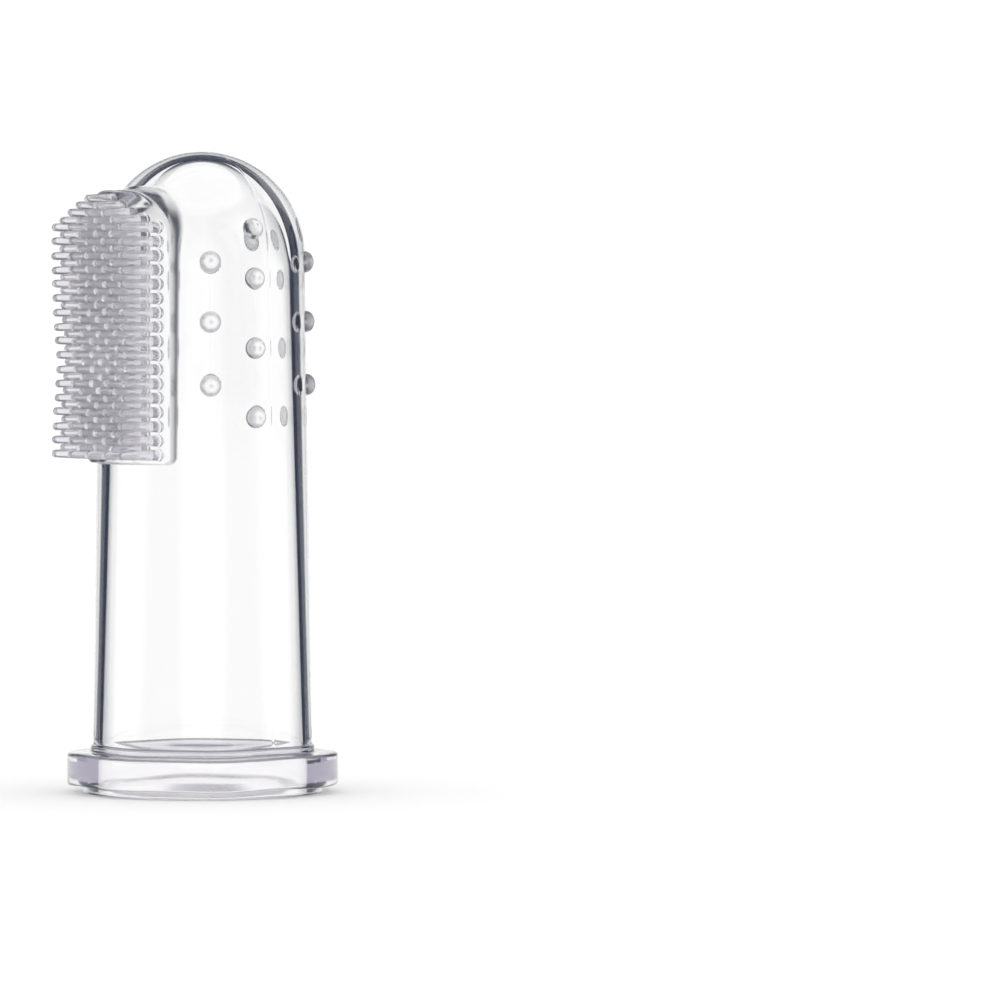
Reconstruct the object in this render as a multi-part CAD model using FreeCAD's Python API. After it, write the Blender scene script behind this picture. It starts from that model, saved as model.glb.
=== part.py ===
"""Finger toothbrush for a pet: a clear silicone sleeve that slips over a fingertip.

Millimetres. The origin is the centre of the mouth, on the plane of its rim. +Z runs up the
sleeve to the domed tip, and the bristles point along -Y. Angles round the sleeve are measured
from the middle of the brush pad, and the piece is the same on its left and right.
"""

import FreeCAD, Part
import math
import os

# Sleeve and tip
LENGTH = 57.0
SLEEVE_FOOT_Z = 4.5
DOME_Z = 47.8
SLEEVE_FOOT_R = 9.75
SLEEVE_HEAD_R = 9.10
BORE_DOME_Z = 46.0
BORE_HEAD_R = 7.76
CROWN_WALL = 1.3

# Collar round the mouth
COLLAR_R = 12.05
COLLAR_BOTTOM_Z = 0.65
COLLAR_TOP_Z = 3.6
LIP_R = 10.7
STEP_R = 9.98
STEP_TOP_Z = 4.2
EDGE_ROUND = 0.3
MOUTH_R = 9.30
MOUTH_LAND_END_Z = 3.3
MOUTH_STEP_END_Z = 3.9
BORE_FOOT_R = 8.93
RIM_BEVEL = 0.2

# Brush pad
PAD_R = 10.2
PAD_HALF_WIDTH = 5.6
PAD_BOTTOM_Z = 29.4
PAD_TOP_Z = 53.5
PAD_TOP_CORNER_R = 4.0
PAD_BOTTOM_CORNER_R = 0.6

# Bristles, in a staggered grid
BRISTLE_COLUMN_PITCH = 1.15
BRISTLE_ROW_PITCH = 1.25
BRISTLE_SIDE_COLUMNS = 4
BRISTLE_ROWS = 17
FIRST_ROW_Z = 30.23
BRISTLE_TIP_Y = -13.45
BRISTLE_ROOT_Y = -8.0
BRISTLE_ROOT_R = 0.50
BRISTLE_TIP_R = 0.34

# Round massage nubs, in columns along the sleeve
NUB_R = 0.95
NUB_HEIGHT = 0.80
SHORT_COLUMN_Z = (36.3, 41.9, 47.2)
LONG_COLUMN_Z = (33.5, 39.6, 45.75, 50.1)
SHORT_COLUMN_ANGLES = (54.5, 135.3)
LONG_COLUMN_ANGLES = (80.2, 165.7)

UP = FreeCAD.Vector(0, 0, 1)
OUT = FreeCAD.Vector(0, -1, 0)


def at(radius, z):
    """A point of a half section, in the XZ plane."""
    return FreeCAD.Vector(radius, 0, z)


def line(start, end):
    return Part.LineSegment(start, end).toShape()


def arc(start, middle, end):
    return Part.Arc(start, middle, end).toShape()


def turned(edges):
    """A closed half section turned once about Z."""
    face = Part.Face(Part.Wire(edges))
    return face.revolve(FreeCAD.Vector(0, 0, 0), UP, 360)


def turned_polygon(points):
    corners = points + [points[0]]
    return turned([line(a, b) for a, b in zip(corners, corners[1:])])


def outer_radius(z):
    """Outside radius of the tapered sleeve, and of the dome above it."""
    if z <= DOME_Z:
        share = (z - SLEEVE_FOOT_Z) / (DOME_Z - SLEEVE_FOOT_Z)
        return SLEEVE_FOOT_R + share * (SLEEVE_HEAD_R - SLEEVE_FOOT_R)
    rise = (z - DOME_Z) / (LENGTH - DOME_Z)
    return SLEEVE_HEAD_R * math.sqrt(max(0.0, 1.0 - rise * rise))


def bore_radius(z):
    """Inside radius between the step behind the mouth and the dome."""
    share = (z - MOUTH_STEP_END_Z) / (BORE_DOME_Z - MOUTH_STEP_END_Z)
    return BORE_FOOT_R + share * (BORE_HEAD_R - BORE_FOOT_R)


def finger_sleeve():
    """The tapered tube, thin at the collar and thicker towards the tip."""
    return turned_polygon([
        at(bore_radius(SLEEVE_FOOT_Z), SLEEVE_FOOT_Z),
        at(SLEEVE_FOOT_R, SLEEVE_FOOT_Z),
        at(outer_radius(BORE_DOME_Z), BORE_DOME_Z),
        at(BORE_HEAD_R, BORE_DOME_Z),
    ])


def dome_cap(radius, base_z, top_z):
    """A solid half-round cap: half a sphere, stretched to its height."""
    ball = Part.makeSphere(radius, FreeCAD.Vector(0, 0, 0), UP, 0, 90, 360)
    stretch = FreeCAD.Matrix()
    stretch.scale(FreeCAD.Vector(1.0, 1.0, (top_z - base_z) / radius))
    cap = ball.transformGeometry(stretch)
    cap.translate(FreeCAD.Vector(0, 0, base_z))
    return cap


def outside_core(foot_z):
    """Everything inside the outer skin from foot_z up to the top of the dome, as one solid."""
    tube = turned_polygon([
        at(0, foot_z),
        at(outer_radius(foot_z), foot_z),
        at(SLEEVE_HEAD_R, DOME_Z),
        at(0, DOME_Z),
    ])
    return tube.fuse(dome_cap(SLEEVE_HEAD_R, DOME_Z, LENGTH)).removeSplitter()


def domed_tip():
    """The closed round end over the fingertip, from where the bore starts to close in."""
    hollow = dome_cap(BORE_HEAD_R, BORE_DOME_Z, LENGTH - CROWN_WALL)
    return outside_core(BORE_DOME_Z).cut(hollow)


def mouth_collar():
    """The thick rolled rim: a small lower lip, the wide bead, and a step up to the sleeve."""
    diagonal = EDGE_ROUND * (1.0 - math.sqrt(0.5))
    low = COLLAR_BOTTOM_Z
    top = COLLAR_TOP_Z
    lip_top = at(LIP_R, low)
    bead = [
        (at(COLLAR_R - EDGE_ROUND, low), at(COLLAR_R - diagonal, low + diagonal),
         at(COLLAR_R, low + EDGE_ROUND)),
        (at(COLLAR_R, top - EDGE_ROUND), at(COLLAR_R - diagonal, top - diagonal),
         at(COLLAR_R - EDGE_ROUND, top)),
    ]
    step_foot = at(STEP_R, top)
    step_head = at(STEP_R, STEP_TOP_Z)
    sleeve_foot = at(SLEEVE_FOOT_R, SLEEVE_FOOT_Z)
    bore_foot = at(bore_radius(SLEEVE_FOOT_Z), SLEEVE_FOOT_Z)
    bore_step = at(BORE_FOOT_R, MOUTH_STEP_END_Z)
    land_end = at(MOUTH_R, MOUTH_LAND_END_Z)
    land_start = at(MOUTH_R, RIM_BEVEL)
    rim_inner = at(MOUTH_R + RIM_BEVEL, 0)
    rim_outer = at(LIP_R - RIM_BEVEL, 0)
    lip_foot = at(LIP_R, RIM_BEVEL)
    return turned([
        line(rim_inner, rim_outer),
        line(rim_outer, lip_foot),
        line(lip_foot, lip_top),
        line(lip_top, bead[0][0]),
        arc(*bead[0]),
        line(bead[0][2], bead[1][0]),
        arc(*bead[1]),
        line(bead[1][2], step_foot),
        line(step_foot, step_head),
        line(step_head, sleeve_foot),
        line(sleeve_foot, bore_foot),
        line(bore_foot, bore_step),
        line(bore_step, land_end),
        line(land_end, land_start),
        line(land_start, rim_inner),
    ])


def pad_outline():
    """The pad's front view, on the plane y = 0: rounded at the top, nearly square at the foot."""
    w = PAD_HALF_WIDTH
    top = PAD_TOP_CORNER_R
    foot = PAD_BOTTOM_CORNER_R
    half = math.sqrt(0.5)

    def corner(side, z_edge, radius, upward):
        """Start, middle and end of a corner arc, from the side edge to the end edge."""
        centre_x = side * (w - radius)
        centre_z = z_edge - upward * radius
        return (
            FreeCAD.Vector(side * w, 0, centre_z),
            FreeCAD.Vector(centre_x + side * half * radius, 0, centre_z + upward * half * radius),
            FreeCAD.Vector(centre_x, 0, z_edge),
        )

    top_right = corner(1, PAD_TOP_Z, top, 1)
    top_left = corner(-1, PAD_TOP_Z, top, 1)
    foot_left = corner(-1, PAD_BOTTOM_Z, foot, -1)
    foot_right = corner(1, PAD_BOTTOM_Z, foot, -1)
    return Part.Wire([
        arc(*top_right),
        line(top_right[2], top_left[2]),
        arc(*reversed(top_left)),
        line(top_left[0], foot_left[0]),
        arc(*foot_left),
        line(foot_left[2], foot_right[2]),
        arc(*reversed(foot_right)),
        line(foot_right[0], top_right[0]),
    ])


def brush_pad(core):
    """The raised pad: its face is a straight cylinder, so it stands taller beside the dome."""
    block = Part.Face(pad_outline()).extrude(OUT * LENGTH)
    face_cylinder = Part.makeCylinder(PAD_R, LENGTH, FreeCAD.Vector(0, 0, 0), UP)
    return block.common(face_cylinder).cut(core)


def bristle(x, z):
    """One tapered bristle with a round end, parallel to the others."""
    barrel_end = BRISTLE_TIP_Y + BRISTLE_TIP_R
    shaft_length = BRISTLE_ROOT_Y - barrel_end
    shaft = Part.makeCone(
        BRISTLE_ROOT_R, BRISTLE_TIP_R, shaft_length, FreeCAD.Vector(x, BRISTLE_ROOT_Y, z), OUT)
    tip = Part.makeSphere(BRISTLE_TIP_R, FreeCAD.Vector(x, barrel_end, z))
    return shaft.fuse(tip).removeSplitter()


def bristle_places():
    """x and z of every bristle, one list for each row of the staggered grid."""
    rows = []
    for row in range(BRISTLE_ROWS):
        places = []
        for column in range(-BRISTLE_SIDE_COLUMNS, BRISTLE_SIDE_COLUMNS + 1):
            offset = 0.5 * (column % 2)
            z = FIRST_ROW_Z + BRISTLE_ROW_PITCH * (row + offset)
            places.append((column * BRISTLE_COLUMN_PITCH, z))
        rows.append(places)
    return rows


def crown_places():
    """The short rows above the last full one, each narrower than the one below it."""
    places = []
    for step in range(1, BRISTLE_SIDE_COLUMNS):
        reach = BRISTLE_SIDE_COLUMNS - 1 - step
        z = FIRST_ROW_Z + BRISTLE_ROW_PITCH * (BRISTLE_ROWS - 0.5 + 0.5 * step)
        for column in range(-reach, reach + 1, 2):
            places.append((column * BRISTLE_COLUMN_PITCH, z))
    return places


def rooted_bristles(places, pad_cylinder):
    """A group of bristles, each cut off where it meets the face of the pad."""
    shafts = [bristle(x, z).cut(pad_cylinder) for x, z in places]
    return Part.makeCompound([solid for shaft in shafts for solid in shaft.Solids])


def nub(angle, z):
    """A low round dome standing square to the skin, before its foot is cut to fit."""
    turn = math.radians(angle)
    outward = FreeCAD.Vector(math.sin(turn), -math.cos(turn), 0)
    rise = 0.0
    if z > DOME_Z:
        height = LENGTH - DOME_Z
        rise = (z - DOME_Z) * (SLEEVE_HEAD_R / height) ** 2 / outer_radius(z)
    normal = (outward + UP * rise).normalize()
    foot = outward * outer_radius(z) + UP * z
    ball = Part.makeSphere(1.0, FreeCAD.Vector(0, 0, 0))
    squash = FreeCAD.Matrix()
    squash.scale(FreeCAD.Vector(NUB_R, NUB_R, NUB_HEIGHT))
    button = ball.transformGeometry(squash)
    button.Placement = FreeCAD.Placement(foot, FreeCAD.Rotation(UP, normal))
    return button


def nub_column(angle, heights, core):
    """One column of nubs, cut off where they meet the skin of the sleeve and the dome."""
    buttons = [nub(angle, z).cut(core) for z in heights]
    return Part.makeCompound([solid for button in buttons for solid in button.Solids])


def build():
    core = outside_core(SLEEVE_FOOT_Z)
    pad_cylinder = Part.makeCylinder(PAD_R, LENGTH, FreeCAD.Vector(0, 0, 0), UP)
    parts = {
        "finger_sleeve": finger_sleeve(),
        "domed_tip": domed_tip(),
        "mouth_collar": mouth_collar(),
        "brush_pad": brush_pad(core),
    }
    for number, places in enumerate(bristle_places(), start=1):
        parts[f"bristle_row_{number:02d}"] = rooted_bristles(places, pad_cylinder)
    parts["bristle_crown"] = rooted_bristles(crown_places(), pad_cylinder)
    columns = [("short", a, SHORT_COLUMN_Z) for a in SHORT_COLUMN_ANGLES]
    columns += [("long", a, LONG_COLUMN_Z) for a in LONG_COLUMN_ANGLES]
    for kind, angle, heights in columns:
        place = "front" if angle < 90 else "back"
        for side, name in ((1, "right"), (-1, "left")):
            parts[f"nubs_{kind}_{place}_{name}"] = nub_column(side * angle, heights, core)
    return parts


os.makedirs("parts", exist_ok=True)
for name, shape in build().items():
    shape.exportStep(f"parts/{name}.step")
    print(f"{name:28s} solids {len(shape.Solids):3d} valid {shape.isValid()} volume {shape.Volume:9.3f}")
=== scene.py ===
"""The looks of the silicone finger toothbrush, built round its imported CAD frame.

Metres. The brush stands on its collar with its axis on Z, and its bristles point along -Y.
The whole skin is made as one closed surface, then cut along the edges of the moulded features,
so that light bends through it as through a single moulding.
"""

import math
import random

import bmesh
import bpy
import numpy as np
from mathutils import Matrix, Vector


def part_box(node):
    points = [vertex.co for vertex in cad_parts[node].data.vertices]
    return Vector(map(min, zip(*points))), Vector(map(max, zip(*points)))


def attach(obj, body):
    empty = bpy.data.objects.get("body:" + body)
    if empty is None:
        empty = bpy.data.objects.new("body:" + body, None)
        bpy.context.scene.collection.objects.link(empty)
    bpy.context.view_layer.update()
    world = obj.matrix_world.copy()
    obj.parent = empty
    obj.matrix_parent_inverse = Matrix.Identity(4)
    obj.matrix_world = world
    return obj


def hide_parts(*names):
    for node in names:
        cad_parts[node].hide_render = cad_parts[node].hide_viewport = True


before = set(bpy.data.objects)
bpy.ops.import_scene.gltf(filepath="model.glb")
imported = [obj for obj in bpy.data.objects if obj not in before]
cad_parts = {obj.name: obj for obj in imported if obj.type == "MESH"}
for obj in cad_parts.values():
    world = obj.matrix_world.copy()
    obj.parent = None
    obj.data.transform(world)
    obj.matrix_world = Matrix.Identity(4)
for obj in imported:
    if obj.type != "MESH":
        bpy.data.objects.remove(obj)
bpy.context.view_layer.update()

MM = 0.001
UP = Vector((0, 0, 1))

# Read from the frame
sleeve_low, sleeve_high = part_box("finger_sleeve")
tip_low, tip_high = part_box("domed_tip")
pad_low, pad_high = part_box("brush_pad")

LENGTH = tip_high.z
TIP_FOOT_Z = tip_low.z
FOOT_Z = sleeve_low.z
FOOT_R = sleeve_high.x
HEAD_R = tip_high.x
COLLAR_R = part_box("mouth_collar")[1].x
PAD_R = -pad_low.y
PAD_HALF_WIDTH = pad_high.x
TIP_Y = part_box("bristle_row_01")[0].y

# Sleeve and dome
DOME_Z = 47.8 * MM
BORE_FOOT_R = 8.93 * MM
BORE_HEAD_R = 7.76 * MM
BORE_START_Z = 3.9 * MM
BORE_DOME_Z = TIP_FOOT_Z
CROWN_WALL = 1.3 * MM
MOUTH_R = 9.30 * MM
LAND_END_Z = 3.3 * MM

# Rows of the half section
DOME_ROWS = 30
TIP_FOOT_ROWS = 2
SLEEVE_ROWS = 48
BEAD_ROWS = 4
LAND_ROWS = 5
BORE_ROWS = 52

# Collar
BEAD_LOW_Z = 0.65 * MM
BEAD_TOP_Z = 3.6 * MM
BEAD_ROUND = 0.3 * MM
LIP_R = 10.7 * MM
LIP_ROUND = 0.2 * MM
LIP_BEVEL = 0.05 * MM
STEP_R = 9.98 * MM
STEP_ROUND = 0.2 * MM
STEP_TOP_Z = 4.35 * MM
STEP_SOFT = 0.3 * MM
STEP_ARC = 75
UNEVEN_TOP_Z = 5.5 * MM
UNEVEN_HEIGHT = 0.12 * MM
UNEVEN_WAVES = ((3, 0.9, 1.0), (7, 2.0, 0.5))  # waves round the collar, start, size

# Pad
PAD_TOP_CORNER = 4.0 * MM
PAD_FOOT_CORNER = 0.6 * MM
PAD_EDGE_ROUND = 0.30 * MM
PAD_EDGE_TURN = 15
PAD_FILLET_RISE = 0.40
PAD_FILLET_REACH = 0.18
PAD_FILLET_STEPS = 6
PAD_ACROSS = 24
PAD_MIDDLE_ROWS = 48
PAD_FOOT_TURN = 15
PAD_TOP_TURN = 6
OVERLAP = 0.03 * MM  # how far one moulded shape dips into the next

# Bristles
COLUMN_PITCH = 1.15 * MM
ROW_PITCH = 1.25 * MM
SIDE_COLUMNS = 4
ROWS = 17
FIRST_ROW_Z = 30.23 * MM
ROOT_R = 0.50 * MM
TIP_R = 0.34 * MM
ROOT_FLARE = 0.12 * MM
ROOT_SUNK = 0.35 * MM
BRISTLE_SIDES = 20
BRISTLE_STEPS = 4
FLARE_TURN = 22.5
TIP_TURN = 18
BRISTLE_SEED = 11
END_SPREAD_MM = 0.12
LEAN_MM = 0.07
WORN_DEPTH = 0.5 * MM
WORN_Z = 38.5 * MM
WORN_SPAN = 3.8 * MM

# Nubs
NUB_R = 0.95 * MM
NUB_HEIGHT = 0.80 * MM
NUB_SUNK = 0.35 * MM
NUB_ROWS = 12
NUB_SIDES = 48
SHORT_COLUMN_Z = [z * MM for z in (36.3, 41.9, 47.2)]
LONG_COLUMN_Z = [z * MM for z in (33.5, 39.6, 45.75, 50.1)]
NUB_COLUMNS = (
    ("nubs_short_front", 54.5, SHORT_COLUMN_Z),
    ("nubs_long_front", 80.2, LONG_COLUMN_Z),
    ("nubs_short_back", 135.3, SHORT_COLUMN_Z),
    ("nubs_long_back", 165.7, LONG_COLUMN_Z),
)

# Mould parting line, a hair-thin ridge on both sides
PARTING_HALF_ANGLE = 0.75
PARTING_HEIGHT = 0.03 * MM

# Mesh fineness
AROUND = 240
SHARP_ANGLE = math.radians(32)

# Silicone: colour, roughness, strength of the grain, clarity
IOR = 1.41
SILICONES = {
    "clear_silicone": ((0.985, 0.985, 0.988), 0.03, 0.2, 1.0),
    "collar_silicone": ((0.985, 0.98, 0.985), 0.07, 0.3, 1.0),
    "bristle_silicone": ((0.955, 0.945, 0.98), 0.16, 0.1, 0.85),
    "nub_silicone": ((0.985, 0.985, 0.985), 0.25, 0.1, 0.92),
    "pad_silicone": ((0.985, 0.985, 0.988), 0.16, 0.2, 1.0),
}
SMEAR_SCALE = 180
SMEAR_DETAIL = 3
SMEAR_SPREAD = 0.4
GRAIN_SCALE = 90
GRAIN_DETAIL = 2
GRAIN_DEPTH = 0.05 * MM

# Painted shade: greys painted into the silicone's colour where refraction would darken it, and the
# ranges of the skin's normal over which each of them comes in
# Painted shade on the pad's side walls, near black
PAD_WALL_PAINTED_SHADE = (0.02, 0.022, 0.034)
PAD_WALL_OUTWARD = (0.42, 0.05)
PAD_WALL_UPWARD = (0.92, 0.35)
PAD_PAINTED_SHADE_DEPTH = 0.75 * MM
# Painted shade on the collar's rounded edges
COLLAR_EDGE_PAINTED_SHADE = (0.40, 0.39, 0.46)
COLLAR_EDGE_START = (0.12, 0.4)
COLLAR_EDGE_END = (0.97, 0.8)
# Painted shade on the nubs' steep rims
NUB_RIM_PAINTED_SHADE = (0.50, 0.50, 0.52)
NUB_RIM = (0.97, 0.72)

# Camera
VIEW_AZIMUTH = 50.0
CAMERA_DISTANCE = 690 * MM
CAMERA_HEIGHT = 46 * MM
CAMERA_LENS = 279.0
CAMERA_SENSOR = 36
CAMERA_CLIP = (0.01, 50)
CAMERA_YAW = 2.2
CAMERA_PITCH = -1.66

# Ring of dark cards, with six white windows in it
CARD_SIDES = 96
CARD_PROFILE = (  # radius and height, in metres
    (0.085, 0.0004), (0.11, 0.0004), (0.14, 0.01), (0.155, 0.04), (0.16, 0.12), (0.12, 0.2))
CARD_COLOUR = (0.035, 0.042, 0.07, 1)
CARD_CENTRE_Z = 30 * MM
CARD_STEPS = (  # degrees from the nearest window's middle, and how dark the card is there
    (47.0, 0.0), (45.6, 1.0), (27.5, 1.0), (22.0, 0.06), (16.0, 0.03), (9.0, 0.0))
CARD_CROSSINGS = ((3, 0.2), (5, 0.0))  # surfaces crossed, and how much of the card still shows

# Grey ring card round the foot
FLOOR_CARD_COLOUR = (0.40, 0.38, 0.47, 1)
FLOOR_CARD_INNER_R = 12.5 * MM
FLOOR_CARD_OUTER_R = 85 * MM
FLOOR_CARD_Z = 0.3 * MM
FLOOR_CARD_CROSSINGS = (0.5, 2.5)

# Floor and light
FLOOR_COLOUR = (0.98, 0.98, 0.98)
FLOOR_ROUGHNESS = 0.9
FLOOR_GLOW = 0.05
FLOOR_REACH = 6.0
FLOOR_Z = -0.01 * MM
WORLD_STRENGTH = 1.03
DIM_START = 4
DIM_END = 10
DIM_COLOUR = (0.53, 0.52, 0.57)
MAX_BOUNCES = 32
GLOSSY_BOUNCES = 16


# ---------------------------------------------------------------- shape of the skin

def sleeve_radius(z):
    """Outside radius of the tapered sleeve and of the dome above it."""
    if z <= DOME_Z:
        share = (z - FOOT_Z) / (DOME_Z - FOOT_Z)
        return FOOT_R + share * (HEAD_R - FOOT_R)
    rise = (z - DOME_Z) / (LENGTH - DOME_Z)
    return HEAD_R * math.sqrt(max(0.0, 1.0 - rise * rise))


def bore_radius(z):
    """Inside radius of the sleeve and of the dome."""
    if z <= BORE_DOME_Z:
        share = (z - BORE_START_Z) / (BORE_DOME_Z - BORE_START_Z)
        return BORE_FOOT_R + share * (BORE_HEAD_R - BORE_FOOT_R)
    rise = (z - BORE_DOME_Z) / (LENGTH - CROWN_WALL - BORE_DOME_Z)
    return BORE_HEAD_R * math.sqrt(max(0.0, 1.0 - rise * rise))


def wall_middle(z):
    return 0.5 * (sleeve_radius(z) + bore_radius(z))


def corner_arc(radius, z, size, start, turn, steps=6):
    """Points of a rounded corner, round the centre (radius, z), from angle start through turn."""
    points = []
    for i in range(steps + 1):
        angle = math.radians(start + turn * i / steps)
        points.append((radius + size * math.cos(angle), z + size * math.sin(angle)))
    return points


def straight(start, end, steps):
    """Points after start, up to and with end."""
    (r0, z0), (r1, z1) = start, end
    return [(r0 + (r1 - r0) * i / steps, z0 + (z1 - z0) * i / steps) for i in range(1, steps + 1)]


def half_section():
    """The half section from the top of the dome, down the outside and up the bore."""
    outer_dome = []
    inner_dome = []
    for i in range(1, DOME_ROWS + 1):
        angle = math.radians(90 - 90 * i / DOME_ROWS)
        outer_dome.append((HEAD_R * math.cos(angle),
                           DOME_Z + (LENGTH - DOME_Z) * math.sin(angle)))
        inner_dome.append((BORE_HEAD_R * math.cos(angle),
                           BORE_DOME_Z + (LENGTH - CROWN_WALL - BORE_DOME_Z) * math.sin(angle)))
    points = outer_dome
    points += straight(points[-1], (sleeve_radius(TIP_FOOT_Z), TIP_FOOT_Z), TIP_FOOT_ROWS)
    points += straight(points[-1], (FOOT_R, FOOT_Z), SLEEVE_ROWS)
    points += corner_arc(STEP_R - STEP_SOFT, STEP_TOP_Z - STEP_SOFT, STEP_SOFT, STEP_ARC, -STEP_ARC)
    points += corner_arc(STEP_R + STEP_ROUND, BEAD_TOP_Z + STEP_ROUND, STEP_ROUND, 180, 90)
    points += corner_arc(COLLAR_R - BEAD_ROUND, BEAD_TOP_Z - BEAD_ROUND, BEAD_ROUND, 90, -90)
    points += straight(points[-1], (COLLAR_R, BEAD_LOW_Z + BEAD_ROUND), BEAD_ROWS)
    points += corner_arc(COLLAR_R - BEAD_ROUND, BEAD_LOW_Z + BEAD_ROUND, BEAD_ROUND, 0, -90)[1:]
    points += [(LIP_R + LIP_BEVEL, BEAD_LOW_Z), (LIP_R, BEAD_LOW_Z - LIP_BEVEL)]
    points += corner_arc(LIP_R - LIP_ROUND, LIP_ROUND, LIP_ROUND, 0, -90)
    points += corner_arc(MOUTH_R + LIP_ROUND, LIP_ROUND, LIP_ROUND, 270, -90)
    points += straight(points[-1], (MOUTH_R, LAND_END_Z), LAND_ROWS)
    points += [(BORE_FOOT_R, BORE_START_Z)]
    points += straight(points[-1], (BORE_HEAD_R, BORE_DOME_Z), BORE_ROWS)
    return points + inner_dome[-2::-1]


def around_angles():
    """Degrees round the axis, with one more close by on each side of each parting line."""
    angles = [360.0 * i / AROUND for i in range(AROUND)]
    for side in (0.0, 180.0):
        angles += [side - PARTING_HALF_ANGLE, side + PARTING_HALF_ANGLE]
    return sorted(a % 360.0 for a in angles)


def feature_of(z):
    """The moulded feature of the turned skin that the height z belongs to."""
    if z < FOOT_Z:
        return "mouth_collar"
    return "finger_sleeve" if z < TIP_FOOT_Z else "domed_tip"


def placed(name, data):
    """An object in the scene for a mesh or a camera."""
    made = bpy.data.objects.new(name, data)
    bpy.context.scene.collection.objects.link(made)
    return made


class Tagged:
    """A mesh under construction whose faces each carry the name of a moulded feature."""

    def __init__(self, name):
        self.name = name
        self.vertices = []
        self.faces = []
        self.features = []

    def add_vertex(self, point):
        self.vertices.append(tuple(point))
        return len(self.vertices) - 1

    def add_face(self, corners, feature):
        self.faces.append(tuple(corners))
        self.features.append(feature)

    def add_ring_stack(self, rings, feature, closed_start=None, closed_end=None):
        """Joins rings of equal length, and closes an end with a fan where its point is given.

        Gives back the rings, as numbers of vertices.
        """
        grid = [[self.add_vertex(p) for p in ring] for ring in rings]
        count = len(grid[0])
        for low, high in zip(grid, grid[1:]):
            for i in range(count):
                j = (i + 1) % count
                self.add_face((low[i], low[j], high[j], high[i]), feature)
        if closed_start is not None:
            tip = self.add_vertex(closed_start)
            for i in range(count):
                self.add_face((tip, grid[0][(i + 1) % count], grid[0][i]), feature)
        if closed_end is not None:
            tip = self.add_vertex(closed_end)
            for i in range(count):
                self.add_face((tip, grid[-1][i], grid[-1][(i + 1) % count]), feature)
        return grid

    def to_object(self):
        """The finished mesh, with one placeholder material for each feature."""
        names = sorted(set(self.features))
        mesh = bpy.data.meshes.new(self.name)
        mesh.from_pydata(self.vertices, [], self.faces)
        for name in names:
            tag = bpy.data.materials.get(name) or bpy.data.materials.new(name)
            mesh.materials.append(tag)
        mesh.polygons.foreach_set("material_index", [names.index(f) for f in self.features])
        bm = bmesh.new()
        bm.from_mesh(mesh)
        bmesh.ops.recalc_face_normals(bm, faces=bm.faces)
        bm.to_mesh(mesh)
        bm.free()
        return placed(self.name, mesh)


def collar_unevenness(angle, z):
    """How far the soft collar's edges wander up or down round the mouth."""
    if z >= UNEVEN_TOP_Z:
        return 0.0
    share = math.sin(math.pi * math.sqrt(max(z, 0.0) / UNEVEN_TOP_Z))
    waves = sum(size * math.sin(count * angle + start) for count, start, size in UNEVEN_WAVES)
    return UNEVEN_HEIGHT * share * waves


def on_parting_line(angle):
    return min(angle, abs(angle - math.pi), 2 * math.pi - angle) < 1e-6


def sleeve_mesh():
    """Collar, sleeve and dome, turned round Z as one closed skin with a bore."""
    made = Tagged("skin")
    section = half_section()
    angles = [math.radians(a) for a in around_angles()]
    outside_rows = DOME_ROWS + TIP_FOOT_ROWS + SLEEVE_ROWS
    rings = []
    for row, (radius, z) in enumerate(section):
        ring = []
        for angle in angles:
            r = radius
            if row < outside_rows and on_parting_line(angle):
                r += PARTING_HEIGHT
            uneven = collar_unevenness(angle, z)
            ring.append(made.add_vertex((r * math.cos(angle), r * math.sin(angle), z + uneven)))
        rings.append(ring)
    count = len(angles)
    for (above, below), (top, foot) in zip(zip(section, section[1:]), zip(rings, rings[1:])):
        feature = feature_of(0.5 * (above[1] + below[1]))
        for i in range(count):
            j = (i + 1) % count
            made.add_face((top[i], foot[i], foot[j], top[j]), feature)
    outer_pole = made.add_vertex((0, 0, LENGTH))
    inner_pole = made.add_vertex((0, 0, LENGTH - CROWN_WALL))
    for i in range(count):
        j = (i + 1) % count
        made.add_face((outer_pole, rings[0][i], rings[0][j]), "domed_tip")
        made.add_face((inner_pole, rings[-1][j], rings[-1][i]), "domed_tip")
    return made.to_object()


# ---------------------------------------------------------------- pad, bristles and nubs

def pad_rows():
    """Heights up the pad, closer together where the corners turn."""
    low = [pad_low.z + PAD_FOOT_CORNER * (1 - math.cos(math.radians(turn)))
           for turn in range(0, 91, PAD_FOOT_TURN)]
    top = [pad_high.z - PAD_TOP_CORNER * (1 - math.sin(math.radians(turn)))
           for turn in range(0, 91, PAD_TOP_TURN)]
    span = top[0] - low[-1]
    middle = [low[-1] + span * i / PAD_MIDDLE_ROWS for i in range(1, PAD_MIDDLE_ROWS)]
    return low + middle + top


def pad_half_width(z):
    """Half the pad's width, which narrows where its corners turn."""
    if z > pad_high.z - PAD_TOP_CORNER:
        rise = (z - (pad_high.z - PAD_TOP_CORNER)) / PAD_TOP_CORNER
        return PAD_HALF_WIDTH - PAD_TOP_CORNER * (1 - math.sqrt(max(0.0, 1 - rise * rise)))
    if z < pad_low.z + PAD_FOOT_CORNER:
        rise = (pad_low.z + PAD_FOOT_CORNER - z) / PAD_FOOT_CORNER
        return PAD_HALF_WIDTH - PAD_FOOT_CORNER * (1 - math.sqrt(max(0.0, 1 - rise * rise)))
    return PAD_HALF_WIDTH


def pad_loop(inset, depth_of):
    """One closed loop round the pad's outline, drawn in by inset, at the depth depth_of gives.

    It goes up the right side, across the top, down the left side and back along the foot.
    """
    centre_z = 0.5 * (pad_low.z + pad_high.z)
    shrink_z = 1 - inset / (0.5 * (pad_high.z - pad_low.z))
    right = [(pad_half_width(z) - inset, centre_z + (z - centre_z) * shrink_z) for z in pad_rows()]
    steps = [1 - 2 * k / PAD_ACROSS for k in range(1, PAD_ACROSS)]
    top = [(share * right[-1][0], right[-1][1]) for share in steps]
    left = [(-x, z) for x, z in reversed(right)]
    foot = [(-share * right[0][0], right[0][1]) for share in steps]
    return [(x, depth_of(x, z), z) for x, z in right + top + left + foot]


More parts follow.
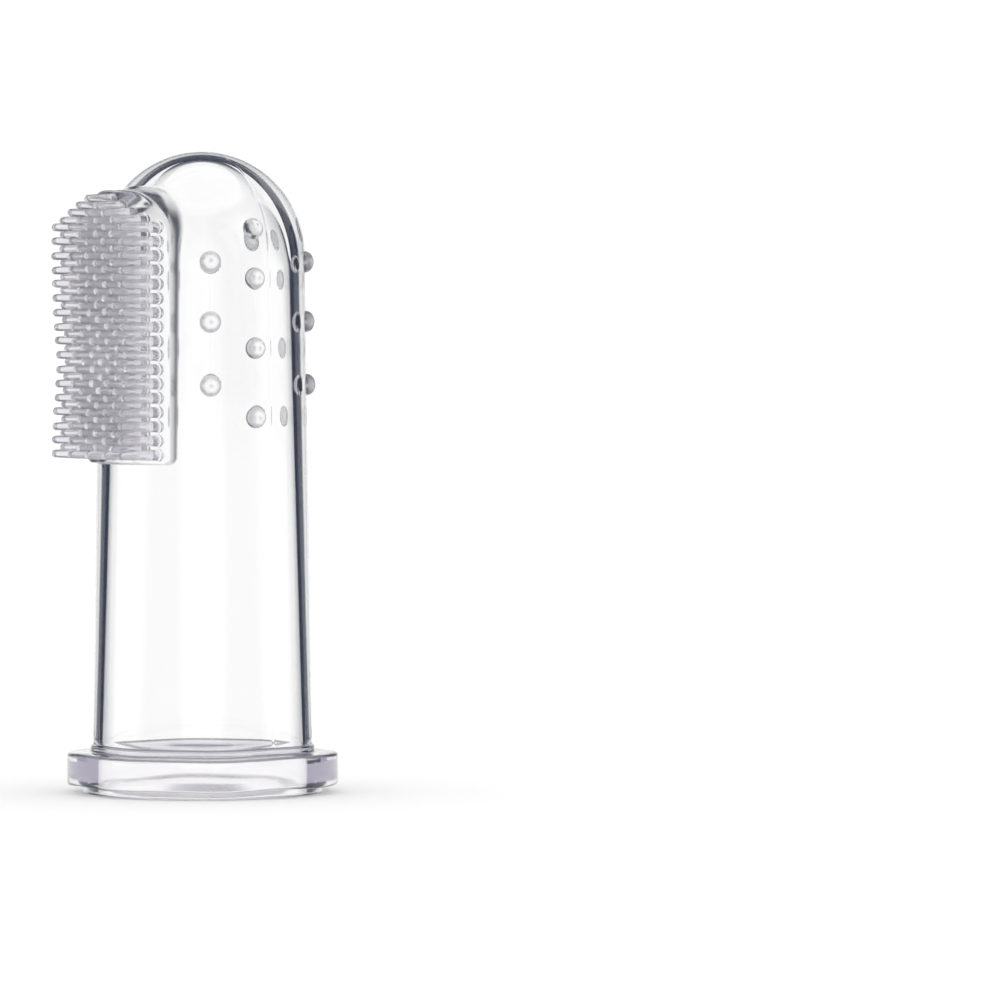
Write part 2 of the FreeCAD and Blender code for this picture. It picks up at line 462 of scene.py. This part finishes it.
def depth_on(radius, x):
    """The y, on the brush's bristle side, of a cylinder of this radius."""
    return -math.sqrt(max(radius * radius - x * x, 0.0))


def pad_face_depth(x, z):
    return depth_on(PAD_R, x)


def pad_back_depth(x, z):
    """The pad's hidden back, halfway through the wall."""
    return depth_on(wall_middle(z), x)


def sleeve_depth(x, z):
    return depth_on(sleeve_radius(z), x)


def pad_fillet():
    """Loops that sweep the pad's wall out onto the sleeve, from the sleeve up to the wall."""
    loops = []
    inner = pad_loop(0.0, sleeve_depth)
    outer = pad_loop(-1.0 * MM, sleeve_depth)
    for step in range(PAD_FILLET_STEPS + 1):
        turn = 1 - step / PAD_FILLET_STEPS
        share = turn * turn
        loop = []
        for (x0, y0, z0), (x1, _, z1) in zip(inner, outer):
            height = y0 - pad_face_depth(x0, z0)
            reach = PAD_FILLET_REACH * height / (1.0 * MM)
            x2 = x0 + (x1 - x0) * reach
            z2 = z0 + (z1 - z0) * reach
            y2 = sleeve_depth(x2, z2) + OVERLAP
            raised = y0 - PAD_FILLET_RISE * height
            y = (1 - turn) ** 2 * raised + 2 * turn * (1 - turn) * y0 + share * y2
            loop.append((x0 + (x2 - x0) * share, y, z0 + (z2 - z0) * share))
        loops.append(loop)
    return loops


def pad_mesh():
    """The raised pad, with a softly rounded edge round its face and a fillet at its foot."""
    made = Tagged("pad")
    rings = [pad_loop(0.0, pad_back_depth)] + pad_fillet()
    rings.append(pad_loop(0.0, lambda x, z: pad_face_depth(x, z) + PAD_EDGE_ROUND))
    for angle in range(PAD_EDGE_TURN, 91, PAD_EDGE_TURN):
        turn = math.radians(angle)
        inset = PAD_EDGE_ROUND * (1 - math.cos(turn))
        sunk = PAD_EDGE_ROUND * (1 - math.sin(turn))
        rings.append(pad_loop(inset, lambda x, z, s=sunk: pad_face_depth(x, z) + s))
    grid = made.add_ring_stack(rings, "brush_pad")
    rows = len(pad_rows())
    for ring, depth in ((grid[0], pad_back_depth), (grid[-1], pad_face_depth)):
        right = ring[:rows]
        top = ring[rows:rows + PAD_ACROSS - 1]
        left = list(reversed(ring[rows + PAD_ACROSS - 1:2 * rows + PAD_ACROSS - 1]))
        foot = list(reversed(ring[2 * rows + PAD_ACROSS - 1:]))
        lines = [[right[0]] + foot + [left[0]]]
        for start, end in zip(right[1:-1], left[1:-1]):
            (x0, _, z), (x1, _, _) = made.vertices[start], made.vertices[end]
            inner = [x0 + (x1 - x0) * k / PAD_ACROSS for k in range(1, PAD_ACROSS)]
            lines.append([start] + [made.add_vertex((x, depth(x, z), z)) for x in inner] + [end])
        lines.append([right[-1]] + top + [left[-1]])
        for low, high in zip(lines, lines[1:]):
            for k in range(PAD_ACROSS):
                made.add_face((low[k], low[k + 1], high[k + 1], high[k]), "brush_pad")
    return made.to_object()


def bristle_places():
    """(feature, x, z) for every bristle of the staggered grid and of the rounded crown."""
    places = []
    for row in range(ROWS):
        for column in range(-SIDE_COLUMNS, SIDE_COLUMNS + 1):
            z = FIRST_ROW_Z + ROW_PITCH * (row + 0.5 * (column % 2))
            places.append((f"bristle_row_{row + 1:02d}", column * COLUMN_PITCH, z))
    for step in range(1, SIDE_COLUMNS):
        reach = SIDE_COLUMNS - 1 - step
        z = FIRST_ROW_Z + ROW_PITCH * (ROWS - 0.5 + 0.5 * step)
        for column in range(-reach, reach + 1, 2):
            places.append(("bristle_crown", column * COLUMN_PITCH, z))
    return places


def bristle_profile(root, face, end):
    """(y, radius) from the hidden root, out of the pad's face and along to near the end."""
    flare_start = face + OVERLAP
    profile = [(root, ROOT_R + ROOT_FLARE), (flare_start, ROOT_R + ROOT_FLARE)]
    for i in range(1, BRISTLE_STEPS + 1):
        angle = math.radians(FLARE_TURN * i)
        profile.append((flare_start - ROOT_FLARE * (1 - math.cos(angle)),
                        ROOT_R + ROOT_FLARE * (1 - math.sin(angle))))
    slope = (ROOT_R - TIP_R) / (face - (end + TIP_R))
    shaft_start = profile[-1][0]
    for i in range(1, BRISTLE_STEPS + 1):
        y = shaft_start + (end + TIP_R - shaft_start) * i / BRISTLE_STEPS
        profile.append((y, ROOT_R - slope * (shaft_start - y)))
    tip_radius = profile[-1][1]
    for i in range(1, BRISTLE_STEPS + 1):
        angle = math.radians(TIP_TURN * i)
        profile.append((end + TIP_R - TIP_R * math.sin(angle), tip_radius * math.cos(angle)))
    return profile


def bristles_mesh():
    """Tapered bristles with round ends and flared roots, each leaning a hair its own way."""
    made = Tagged("bristles")
    chance = random.Random(BRISTLE_SEED)
    for feature, x, z in bristle_places():
        face = pad_face_depth(x, z)
        root = face + ROOT_SUNK
        worn = WORN_DEPTH * math.exp(-((z - WORN_Z) / WORN_SPAN) ** 2)
        end = TIP_Y + chance.uniform(0.0, END_SPREAD_MM) * MM + worn
        lean_x = chance.uniform(-LEAN_MM, LEAN_MM) * MM
        lean_z = chance.uniform(-LEAN_MM, LEAN_MM) * MM
        rings = []
        for y, radius in bristle_profile(root, face, end):
            share = max(0.0, (face - y) / (face - end)) ** 2
            cx, cz = x + lean_x * share, z + lean_z * share
            turns = [2 * math.pi * k / BRISTLE_SIDES for k in range(BRISTLE_SIDES)]
            rings.append([(cx + radius * math.cos(turn), y, cz + radius * math.sin(turn))
                          for turn in turns])
        made.add_ring_stack(rings, feature, (x, root, z), (x + lean_x, end, z + lean_z))
    return made.to_object()


def nub_frame(angle, z):
    """Foot point, outward normal and two side directions of a nub on the skin."""
    turn = math.radians(angle)
    outward = Vector((math.sin(turn), -math.cos(turn), 0))
    foot = outward * sleeve_radius(z) + UP * z
    normal = outward.copy()
    if z > DOME_Z:
        normal += UP * (z - DOME_Z) / sleeve_radius(z) * (HEAD_R / (LENGTH - DOME_Z)) ** 2
        normal.normalize()
    side = UP.cross(normal).normalized()
    return foot, normal, side, normal.cross(side)


def nub_profile():
    """(radius, height) from the hidden foot to near the top of the dome."""
    profile = [(NUB_R, -NUB_SUNK)]
    for i in range(NUB_ROWS):
        angle = math.radians(90 * i / NUB_ROWS)
        profile.append((NUB_R * math.cos(angle), NUB_HEIGHT * math.sin(angle)))
    return profile


def nubs_mesh():
    """The round nubs, in columns on both sides of the brush."""
    made = Tagged("nubs")
    turns = [2 * math.pi * k / NUB_SIDES for k in range(NUB_SIDES)]
    for name, angle, heights in NUB_COLUMNS:
        for side_name, sign in (("right", 1), ("left", -1)):
            for z in heights:
                foot, normal, across, along = nub_frame(sign * angle, z)
                rings = []
                for radius, height in nub_profile():
                    centre = foot + normal * height
                    rings.append([
                        centre + (across * math.cos(turn) + along * math.sin(turn)) * radius
                        for turn in turns])
                made.add_ring_stack(rings, f"{name}_{side_name}",
                                    foot - normal * NUB_SUNK, foot + normal * NUB_HEIGHT)
    return made.to_object()


# ---------------------------------------------------------------- one skin, cut into features

def union(target, tool):
    """Joins tool to target as one closed surface, and drops tool."""
    modifier = target.modifiers.new("union", "BOOLEAN")
    modifier.operation = "UNION"
    modifier.solver = "MANIFOLD"
    modifier.material_mode = "TRANSFER"
    modifier.object = tool
    graph = bpy.context.evaluated_depsgraph_get()
    joined = bpy.data.meshes.new_from_object(target.evaluated_get(graph))
    target.modifiers.clear()
    target.data = joined
    bpy.data.objects.remove(tool)
    return target


def split_by_feature(whole):
    """One object for each feature. They share edges and smooth normals with their neighbours."""
    mesh = whole.data
    mesh.shade_smooth()
    mesh.set_sharp_from_angle(angle=SHARP_ANGLE)
    points = np.empty(len(mesh.vertices) * 3, np.float32)
    mesh.vertices.foreach_get("co", points)
    points = points.reshape(-1, 3)
    normals = np.empty(len(mesh.loops) * 3, np.float32)
    mesh.corner_normals.foreach_get("vector", normals)
    normals = normals.reshape(-1, 3)
    groups = {}
    for polygon in mesh.polygons:
        groups.setdefault(polygon.material_index, []).append(polygon)
    pieces = {}
    for index, polygons in groups.items():
        name = mesh.materials[index].name
        used = sorted({v for p in polygons for v in p.vertices})
        place = {v: i for i, v in enumerate(used)}
        part = bpy.data.meshes.new(f"{name}_skin")
        part.from_pydata(points[used], [], [[place[v] for v in p.vertices] for p in polygons])
        part.shade_smooth()
        part.normals_split_custom_set([normals[i] for p in polygons for i in p.loop_indices])
        pieces[name] = placed(f"{name}_skin", part)
    bpy.data.objects.remove(whole)
    return pieces


# ---------------------------------------------------------------- shader nodes

def connect(tree, value, socket):
    """Set a socket to a number or a vector, or link another node's output to it."""
    if isinstance(value, bpy.types.NodeSocket):
        tree.links.new(value, socket)
    elif value is not None:
        socket.default_value = value


def math_node(tree, operation, first, second=None):
    """A math node's output."""
    node = tree.nodes.new("ShaderNodeMath")
    node.operation = operation
    connect(tree, first, node.inputs[0])
    connect(tree, second, node.inputs[1])
    return node.outputs[0]


def vector_node(tree, operation, first, second=None):
    """A vector math node's output: a number for a length or a dot product, else a vector."""
    node = tree.nodes.new("ShaderNodeVectorMath")
    node.operation = operation
    connect(tree, first, node.inputs[0])
    connect(tree, second, node.inputs[1])
    return node.outputs["Value" if operation in ("LENGTH", "DOT_PRODUCT") else "Vector"]


def split(tree, vector):
    """The outputs X, Y and Z of a vector."""
    axes = tree.nodes.new("ShaderNodeSeparateXYZ")
    connect(tree, vector, axes.inputs[0])
    return axes.outputs


def own_coordinates(tree):
    """The outputs of a texture coordinate node, such as Object and Normal."""
    return tree.nodes.new("ShaderNodeTexCoord").outputs


def smooth_range(tree, value, start, end):
    """0 where value is at start, 1 where it is at end."""
    spread = tree.nodes.new("ShaderNodeMapRange")
    spread.interpolation_type = "SMOOTHSTEP"
    spread.inputs["From Min"].default_value = start
    spread.inputs["From Max"].default_value = end
    connect(tree, value, spread.inputs["Value"])
    return spread.outputs["Result"]


def blend_colours(tree, share, first, second):
    """A colour that goes from first to second as share goes from 0 to 1."""
    mix = tree.nodes.new("ShaderNodeMix")
    mix.data_type = "RGBA"
    mix.inputs["A"].default_value = (*first, 1)
    mix.inputs["B"].default_value = (*second, 1)
    connect(tree, share, mix.inputs["Factor"])
    return mix.outputs["Result"]


def noise(tree, vector, scale, detail):
    texture = tree.nodes.new("ShaderNodeTexNoise")
    texture.inputs["Scale"].default_value = scale
    texture.inputs["Detail"].default_value = detail
    connect(tree, vector, texture.inputs["Vector"])
    return texture.outputs["Fac"]


# ---------------------------------------------------------------- materials

def silicone(name):
    """Clear moulded silicone: a soft gloss with the faint unevenness of a cast surface."""
    colour, roughness, grain, clarity = SILICONES[name]
    material = bpy.data.materials.new(name)
    material.use_nodes = True
    tree = material.node_tree
    shader = tree.nodes["Principled BSDF"]
    shader.inputs["Base Color"].default_value = (*colour, 1)
    shader.inputs["IOR"].default_value = IOR
    shader.inputs["Transmission Weight"].default_value = clarity
    place = own_coordinates(tree)["Object"]
    smears = tree.nodes.new("ShaderNodeMapRange")
    smears.inputs["To Min"].default_value = roughness * (1 - SMEAR_SPREAD)
    smears.inputs["To Max"].default_value = roughness * (1 + SMEAR_SPREAD)
    connect(tree, noise(tree, place, SMEAR_SCALE, SMEAR_DETAIL), smears.inputs["Value"])
    connect(tree, smears.outputs["Result"], shader.inputs["Roughness"])
    bump = tree.nodes.new("ShaderNodeBump")
    bump.inputs["Strength"].default_value = grain
    bump.inputs["Distance"].default_value = GRAIN_DEPTH
    connect(tree, noise(tree, place, GRAIN_SCALE, GRAIN_DETAIL), bump.inputs["Height"])
    connect(tree, bump.outputs["Normal"], shader.inputs["Normal"])
    return material


def paint_shade(material, share, colour):
    """Paint shade into a silicone's own colour: turn it towards colour where share goes to 1."""
    tree = material.node_tree
    base = tree.nodes["Principled BSDF"].inputs["Base Color"]
    connect(tree, blend_colours(tree, share, base.default_value[:3], colour), base)


def surface_axes(tree):
    """The x, y and z of the skin's own normal, without their signs."""
    return split(tree, vector_node(tree, "ABSOLUTE", own_coordinates(tree)["Normal"]))


def paint_pad_wall_shade(material):
    """Painted shade: the pad's side walls, square to its face, are painted darker the closer they
    come to the sleeve, standing in for the dark line that refraction draws along them.
    """
    tree = material.node_tree
    flat = vector_node(tree, "MULTIPLY", own_coordinates(tree)["Object"], (1, 1, 0))
    radius = vector_node(tree, "LENGTH", flat)
    axes = surface_axes(tree)
    upright = smooth_range(tree, axes["Y"], *PAD_WALL_OUTWARD)
    sideways = smooth_range(tree, axes["Z"], *PAD_WALL_UPWARD)
    deep = smooth_range(tree, radius, PAD_R, PAD_R - PAD_PAINTED_SHADE_DEPTH)
    wall = math_node(tree, "MULTIPLY", upright, sideways)
    paint_shade(material, math_node(tree, "MULTIPLY", wall, deep), PAD_WALL_PAINTED_SHADE)


def paint_collar_edge_shade(material):
    """Painted shade: the rounded edges of the collar, between its flat and its upright faces, are
    painted greyer, standing in for the grey that refraction gives them.
    """
    tree = material.node_tree
    tilt = surface_axes(tree)["Z"]
    lifted = smooth_range(tree, tilt, *COLLAR_EDGE_START)
    turned = smooth_range(tree, tilt, *COLLAR_EDGE_END)
    paint_shade(material, math_node(tree, "MULTIPLY", lifted, turned), COLLAR_EDGE_PAINTED_SHADE)


def paint_nub_rim_shade(material):
    """Painted shade: the steep rim of each nub is painted greyer than its top, standing in for the
    grey ring that the nub's refraction draws.
    """
    tree = material.node_tree
    coordinates = own_coordinates(tree)
    place = split(tree, coordinates["Object"])
    above = math_node(tree, "MAXIMUM", math_node(tree, "SUBTRACT", place["Z"], DOME_Z), 0.0)
    axis = tree.nodes.new("ShaderNodeCombineXYZ")
    for name, value in (("X", place["X"]), ("Y", place["Y"]), ("Z", above)):
        connect(tree, value, axis.inputs[name])
    outward = vector_node(tree, "NORMALIZE", axis.outputs["Vector"])
    facing = vector_node(tree, "DOT_PRODUCT", outward, coordinates["Normal"])
    paint_shade(material, smooth_range(tree, facing, *NUB_RIM), NUB_RIM_PAINTED_SHADE)


def dimmed(tree, colour):
    """A studio colour, darker for light that has crossed many silicone surfaces."""
    crossed = tree.nodes.new("ShaderNodeLightPath").outputs["Transmission Depth"]
    darker = [c * d for c, d in zip(colour, DIM_COLOUR)]
    return blend_colours(tree, smooth_range(tree, crossed, DIM_START, DIM_END), colour, darker)


def floor_material():
    material = bpy.data.materials.new("pale_floor")
    material.use_nodes = True
    tree = material.node_tree
    shader = tree.nodes["Principled BSDF"]
    connect(tree, dimmed(tree, FLOOR_COLOUR), shader.inputs["Base Color"])
    shader.inputs["Roughness"].default_value = FLOOR_ROUGHNESS
    shader.inputs["Specular IOR Level"].default_value = 0.0
    shader.inputs["Emission Color"].default_value = (1, 1, 1, 1)
    shader.inputs["Emission Strength"].default_value = FLOOR_GLOW
    return material


def card_material(name, colour, cover):
    """Gives out colour where cover(tree, crossed) is 1, and is clear where it is 0.

    crossed is the number of silicone surfaces that the light has gone through. Light that has
    been scattered by the floor goes through the card.
    """
    material = bpy.data.materials.new(name)
    material.use_nodes = True
    tree = material.node_tree
    tree.nodes.remove(tree.nodes["Principled BSDF"])
    rays = tree.nodes.new("ShaderNodeLightPath").outputs
    unscattered = math_node(tree, "LESS_THAN", rays["Diffuse Depth"], 0.5)
    glow = tree.nodes.new("ShaderNodeEmission")
    glow.inputs["Color"].default_value = colour
    clear = tree.nodes.new("ShaderNodeBsdfTransparent")
    mix = tree.nodes.new("ShaderNodeMixShader")
    seen = math_node(tree, "MULTIPLY", unscattered, cover(tree, rays["Transmission Depth"]))
    connect(tree, seen, mix.inputs["Fac"])
    connect(tree, clear.outputs[0], mix.inputs[1])
    connect(tree, glow.outputs[0], mix.inputs[2])
    connect(tree, mix.outputs[0], tree.nodes["Material Output"].inputs["Surface"])
    return material


def ramp(tree, value, stops, interpolation="LINEAR"):
    """A grey ramp through (position, level) stops."""
    node = tree.nodes.new("ShaderNodeValToRGB")
    node.color_ramp.interpolation = interpolation
    node.color_ramp.elements.remove(node.color_ramp.elements[1])
    for place, level in stops:
        node.color_ramp.elements.new(place).color = (level, level, level, 1)
    connect(tree, value, node.inputs["Fac"])
    return node


def nearest_window(tree):
    """Cosine of the angle from the object's middle to the nearest of six white windows."""
    place = tree.nodes.new("ShaderNodeMapping")
    place.vector_type = "POINT"
    place.inputs["Location"].default_value = (0, 0, -CARD_CENTRE_Z)
    connect(tree, own_coordinates(tree)["Object"], place.inputs["Vector"])
    turn = tree.nodes.new("ShaderNodeVectorRotate")
    turn.rotation_type = "Z_AXIS"
    turn.inputs["Angle"].default_value = -math.radians(VIEW_AZIMUTH)
    connect(tree, place.outputs["Vector"], turn.inputs["Vector"])
    unit = vector_node(tree, "NORMALIZE", turn.outputs["Vector"])
    axes = split(tree, vector_node(tree, "ABSOLUTE", unit))
    level = math_node(tree, "MAXIMUM", axes["X"], axes["Y"])
    return math_node(tree, "MAXIMUM", level, axes["Z"])


def dark_card_cover(tree, crossed):
    """Dark away from the windows, and fading for light that has crossed more of the tube."""
    steps = [(math.cos(math.radians(angle)), level) for angle, level in CARD_STEPS]
    dark = ramp(tree, nearest_window(tree), steps)
    dark.color_ramp.elements[0].color = (0, 0, 0, 1)
    steps = [((count - 0.5) / 10, share) for count, share in CARD_CROSSINGS]
    share = ramp(tree, math_node(tree, "MULTIPLY", crossed, 0.1), steps, "CONSTANT")
    share.color_ramp.elements[0].color = (1, 1, 1, 1)
    return math_node(tree, "MULTIPLY", dark.outputs["Color"], share.outputs["Color"])


def floor_card_cover(tree, crossed):
    """Shows only where one or two silicone surfaces have been crossed."""
    least, most = FLOOR_CARD_CROSSINGS
    inside = math_node(tree, "GREATER_THAN", crossed, least)
    return math_node(tree, "MULTIPLY", inside, math_node(tree, "LESS_THAN", crossed, most))


# ---------------------------------------------------------------- studio

def studio_floor():
    """A pale table top, large enough to run out of sight."""
    mesh = bpy.data.meshes.new("table_top")
    corners = [(-FLOOR_REACH, -FLOOR_REACH, 0), (FLOOR_REACH, -FLOOR_REACH, 0),
               (FLOOR_REACH, FLOOR_REACH, 0), (-FLOOR_REACH, FLOOR_REACH, 0)]
    mesh.from_pydata(corners, [], [(0, 1, 2, 3)])
    table = placed("table_top", mesh)
    mesh.materials.append(floor_material())
    table.location.z = FLOOR_Z


def unseen_ring(name, profile, material):
    """A ring of card through (radius, z) points, turned round Z, that only the silicone sees."""
    sides = CARD_SIDES
    turns = [2 * math.pi * i / sides for i in range(sides)]
    vertices = [(radius * math.cos(turn), radius * math.sin(turn), z)
                for radius, z in profile for turn in turns]
    faces = []
    for row in range(len(profile) - 1):
        for i in range(sides):
            j = (i + 1) % sides
            faces.append((row * sides + i, row * sides + j,
                          (row + 1) * sides + j, (row + 1) * sides + i))
    mesh = bpy.data.meshes.new(name)
    mesh.from_pydata(vertices, [], faces)
    ring = placed(name, mesh)
    mesh.materials.append(material)
    ring.visible_camera = False
    ring.visible_diffuse = False
    ring.visible_shadow = False
    return ring


def dark_cards():
    """Dark cards all round, that draw the dark lines along the silicone's edges."""
    material = card_material("dark_card", CARD_COLOUR, dark_card_cover)
    cards = unseen_ring("dark_cards", CARD_PROFILE, material)


def floor_card():
    """A grey ring round the foot, that greys the ends of the collar."""
    material = card_material("grey_card", FLOOR_CARD_COLOUR, floor_card_cover)
    profile = ((FLOOR_CARD_INNER_R, FLOOR_CARD_Z), (FLOOR_CARD_OUTER_R, FLOOR_CARD_Z))
    card = unseen_ring("grey_card", profile, material)


def studio_light():
    """Even white light from all round."""
    world = bpy.data.worlds.new("studio")
    bpy.context.scene.world = world
    world.use_nodes = True
    tree = world.node_tree
    background = tree.nodes["Background"]
    connect(tree, dimmed(tree, (1, 1, 1)), background.inputs["Color"])
    background.inputs["Strength"].default_value = WORLD_STRENGTH


def camera():
    """A long lens at the height of the dome, turned a little down and aside."""
    data = bpy.data.cameras.new("camera")
    data.lens = CAMERA_LENS
    data.sensor_width = CAMERA_SENSOR
    data.clip_start, data.clip_end = CAMERA_CLIP
    eye = placed("camera", data)
    turn = math.radians(VIEW_AZIMUTH)
    eye.location = (CAMERA_DISTANCE * math.sin(turn), -CAMERA_DISTANCE * math.cos(turn),
                    CAMERA_HEIGHT)
    eye.rotation_euler = (math.radians(90 + CAMERA_PITCH), 0,
                          math.radians(VIEW_AZIMUTH - CAMERA_YAW))
    bpy.context.scene.camera = eye


# ---------------------------------------------------------------- build

def silicone_for(name):
    """The name of the silicone that a feature is made of."""
    if name.startswith("bristle"):
        return "bristle_silicone"
    if name.startswith("nubs"):
        return "nub_silicone"
    return {"mouth_collar": "collar_silicone", "brush_pad": "pad_silicone"}.get(
        name, "clear_silicone")


def build_brush():
    """Join all the features into one skin, cut it up again and dress each piece."""
    skin = sleeve_mesh()
    union(skin, nubs_mesh())
    pad = union(pad_mesh(), bristles_mesh())
    union(skin, pad)
    pieces = split_by_feature(skin)
    missing = set(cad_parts) - set(pieces)
    if missing:
        raise RuntimeError(f"no skin was made for {sorted(missing)}")
    silicones = {name: silicone(name) for name in SILICONES}
    # Shade painted into the colour of the pad's walls, the collar's edges and the nubs' rims
    paint_pad_wall_shade(silicones["pad_silicone"])
    paint_collar_edge_shade(silicones["collar_silicone"])
    paint_nub_rim_shade(silicones["nub_silicone"])
    for name, piece in pieces.items():
        piece.data.materials.clear()
        piece.data.materials.append(silicones[silicone_for(name)])
        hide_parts(name)
        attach(piece, "root")


build_brush()
studio_floor()
dark_cards()
floor_card()
studio_light()
camera()

# Light crosses many surfaces between the bristles
scene = bpy.context.scene
scene.view_settings.view_transform = "Standard"
scene.cycles.max_bounces = MAX_BOUNCES
scene.cycles.transmission_bounces = MAX_BOUNCES
scene.cycles.glossy_bounces = GLOSSY_BOUNCES
